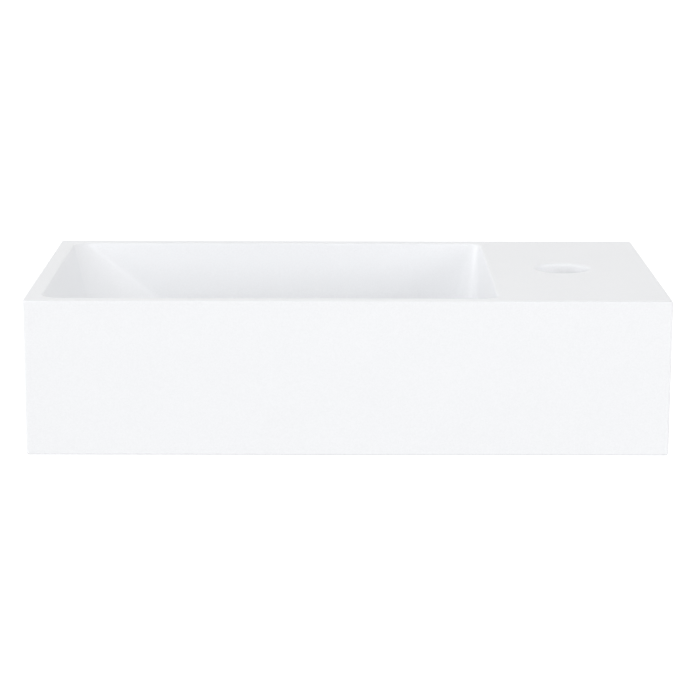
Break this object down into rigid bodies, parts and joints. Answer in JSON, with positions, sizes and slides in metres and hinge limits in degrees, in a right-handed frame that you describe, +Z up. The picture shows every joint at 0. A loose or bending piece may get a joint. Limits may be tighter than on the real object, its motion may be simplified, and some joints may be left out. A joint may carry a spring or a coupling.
{
  "type": "hand basin",
  "caption": "Wall-hung rectangular hand basin of white cast solid surface, with a soft-cornered bowl, a tap deck on its right and a push-open waste.",
  "frame": {"origin": "midway between the two wall bolts, on the wall plane", "axes": "+X to the right along the wall, +Y into the wall, +Z up; the front faces -Y"},
  "size_m": [0.4, 0.274, 0.1203],
  "materials": {
    "solid_surface": "matte",
    "chrome_plate": "polished",
    "black_rubber": "matte",
    "white_plastic": "satin",
    "brass": "machined",
    "stainless_steel": "drawn",
    "zinc_plated_steel": "plated"
  },
  "bodies": {
    "basin": {"basin_body": "solid_surface", "waste_flange": "chrome_plate", "waste_tail": "chrome_plate", "flange_gasket": "black_rubber", "collar_gasket": "black_rubber", "slip_washer": "white_plastic", "cartridge_housing": "brass", "cartridge_cap": "brass", "latch_sleeve": "stainless_steel", "stem_seal": "black_rubber", "plug_spring": "stainless_steel", "wall_bolts": "zinc_plated_steel", "wall_bushes": "white_plastic", "wall_washers": "zinc_plated_steel", "wall_nuts": "zinc_plated_steel"},
    "plug": {"plug_cap": "chrome_plate", "plug_seal": "black_rubber", "plug_stem": "brass", "stem_lock_nut": "brass"},
    "latch": {"latch_pin": "stainless_steel"}
  },
  "joints": [
    {"name": "plug_slide", "type": "slide", "parent": "basin", "child": "plug", "axis": [0, 0, 1], "range_m": [-0.008, 0], "stiffness_N_per_m": 1500, "springref_m": 0.004, "deforming": ["plug_spring"]},
    {"name": "latch_swing", "type": "hinge", "parent": "basin", "child": "latch", "pos_m": [-0.0375, -0.1149, -0.0149], "axis": [0, -1, 0], "range_deg": [0, 16.28]}
  ]
}
